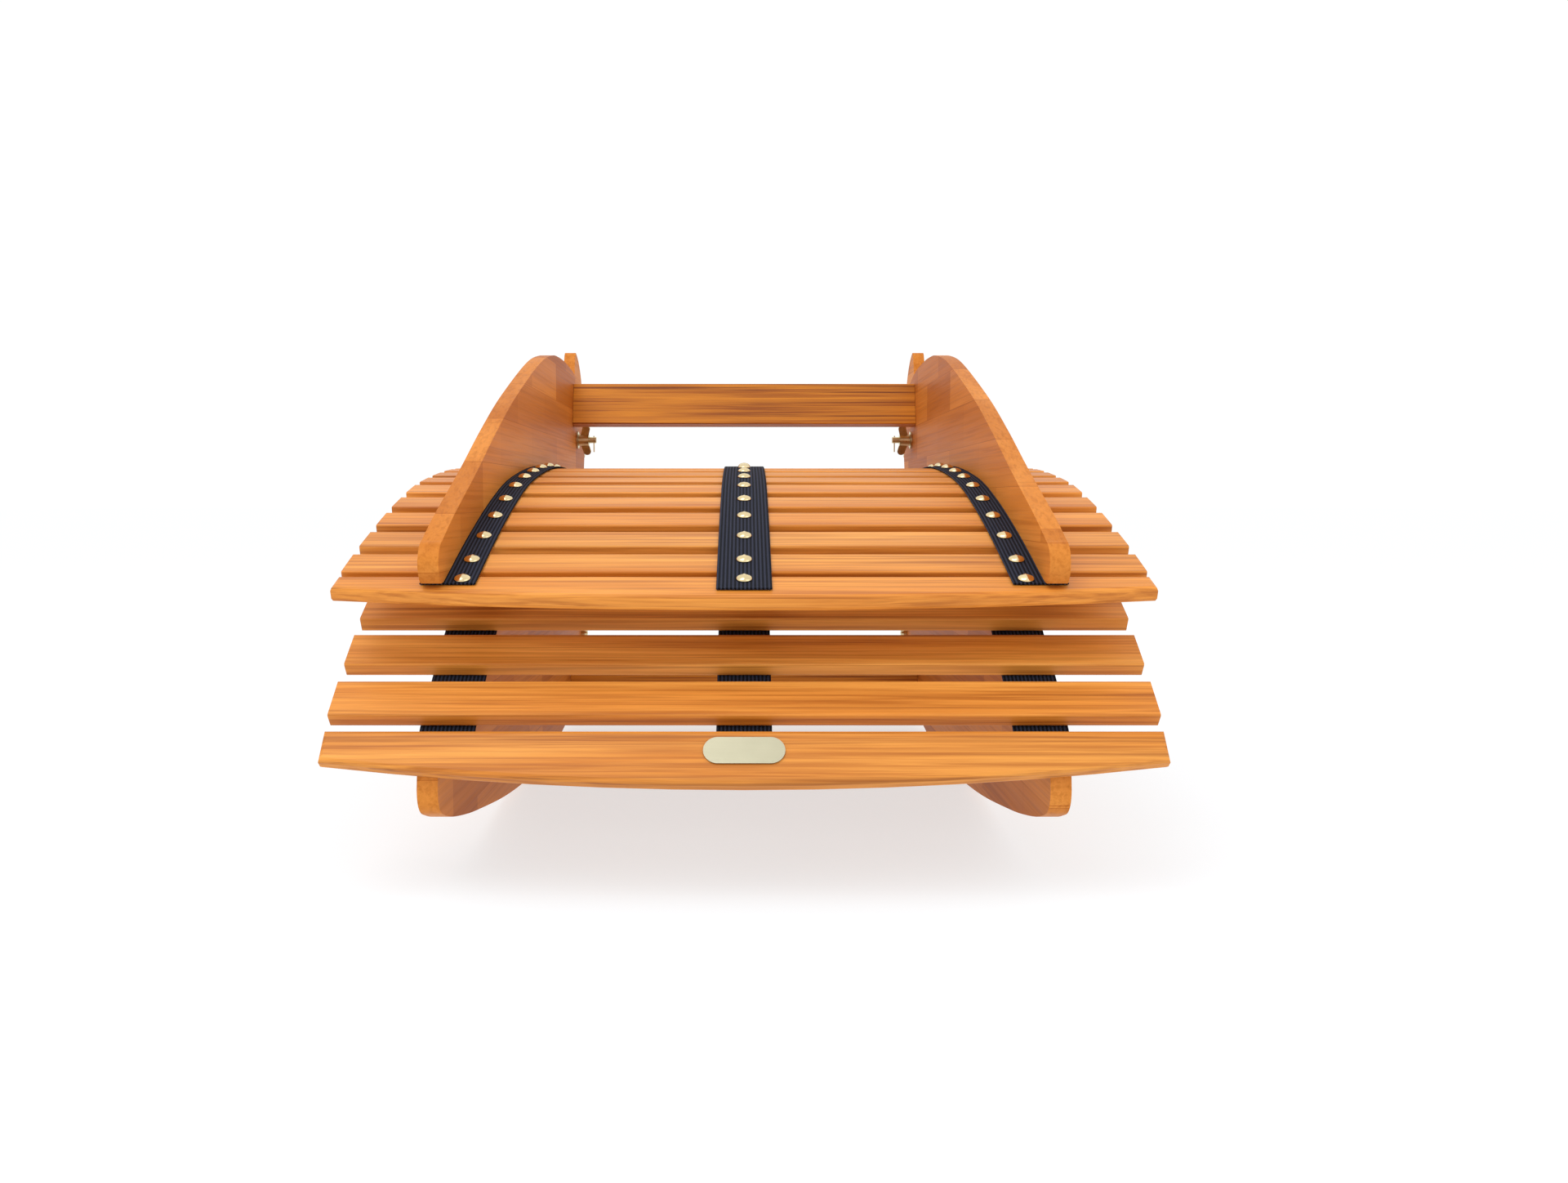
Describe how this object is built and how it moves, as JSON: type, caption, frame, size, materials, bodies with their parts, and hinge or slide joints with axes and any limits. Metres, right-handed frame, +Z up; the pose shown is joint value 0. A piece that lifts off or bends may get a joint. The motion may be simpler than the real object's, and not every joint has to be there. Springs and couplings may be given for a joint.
{
  "type": "folding slatted rocking lounger",
  "caption": "Folded slatted wooden lounger: a curved back section pivots over a rocking seat section, held by webbing straps and clamped with wing nuts.",
  "frame": {"origin": "bottom centre of the folded lounger's box", "axes": "+Z up, +Y towards the pivot end, +X to the right seen from the front"},
  "size_m": [0.6, 0.9884, 0.4882],
  "materials": {
    "slat_wood": "satin oiled",
    "board_wood": "satin oiled laminate",
    "dark_wood": "satin oiled",
    "webbing": "woven",
    "brass": "polished",
    "label": "brushed"
  },
  "bodies": {
    "seat": {"cheek_board_left": "board_wood", "cheek_board_right": "board_wood", "cheek_bolt_lower_left": "brass", "cheek_bolt_lower_right": "brass", "cheek_bolt_upper_left": "brass", "cheek_bolt_upper_right": "brass", "label_plate": "label", "pivot_bolt_left": "brass", "pivot_bolt_right": "brass", "pivot_washer_left": "brass", "pivot_washer_right": "brass", "seat_board_left": "board_wood", "seat_board_right": "board_wood", "seat_end_slat": "slat_wood", "seat_slat_01": "slat_wood", "seat_slat_02": "slat_wood", "seat_slat_03": "slat_wood", "seat_slat_04": "slat_wood", "seat_slat_05": "slat_wood", "seat_slat_06": "slat_wood", "seat_slat_07": "slat_wood", "seat_slat_08": "slat_wood", "seat_slat_09": "slat_wood", "seat_slat_10": "slat_wood", "seat_slat_11": "slat_wood", "seat_slat_12": "slat_wood", "seat_slat_13": "slat_wood", "seat_slat_14": "slat_wood", "seat_slat_15": "slat_wood", "seat_slat_16": "slat_wood", "seat_strap_left": "webbing", "seat_strap_middle": "webbing", "seat_strap_right": "webbing", "seat_stretcher": "dark_wood", "stop_pin_left": "brass", "stop_pin_right": "brass"},
    "back": {"back_board_left": "board_wood", "back_board_right": "board_wood", "back_end_slat": "slat_wood", "back_slat_01": "slat_wood", "back_slat_02": "slat_wood", "back_slat_03": "slat_wood", "back_slat_04": "slat_wood", "back_slat_05": "slat_wood", "back_slat_06": "slat_wood", "back_slat_07": "slat_wood", "back_slat_08": "slat_wood", "back_slat_09": "slat_wood", "back_slat_10": "slat_wood", "back_slat_11": "slat_wood", "back_slat_12": "slat_wood", "back_slat_13": "slat_wood", "back_slat_14": "slat_wood", "back_slat_15": "slat_wood", "back_strap_left": "webbing", "back_strap_middle": "webbing", "back_strap_right": "webbing", "back_stretcher": "dark_wood"},
    "wing_nut_left": {"wing_nut_left": "brass"},
    "wing_nut_right": {"wing_nut_right": "brass"}
  },
  "joints": [
    {"name": "back_fold", "type": "hinge", "parent": "seat", "child": "back", "pos_m": [0, 0.30895, 0.362], "axis": [-1, 0, 0], "range_deg": [0, 125]},
    {"name": "wing_nut_left_turn", "type": "hinge", "parent": "seat", "child": "wing_nut_left", "pos_m": [0, 0.30895, 0.362], "axis": [1, 0, 0], "continuous": true},
    {"name": "wing_nut_right_turn", "type": "hinge", "parent": "seat", "child": "wing_nut_right", "pos_m": [0, 0.30895, 0.362], "axis": [1, 0, 0], "continuous": true}
  ]
}
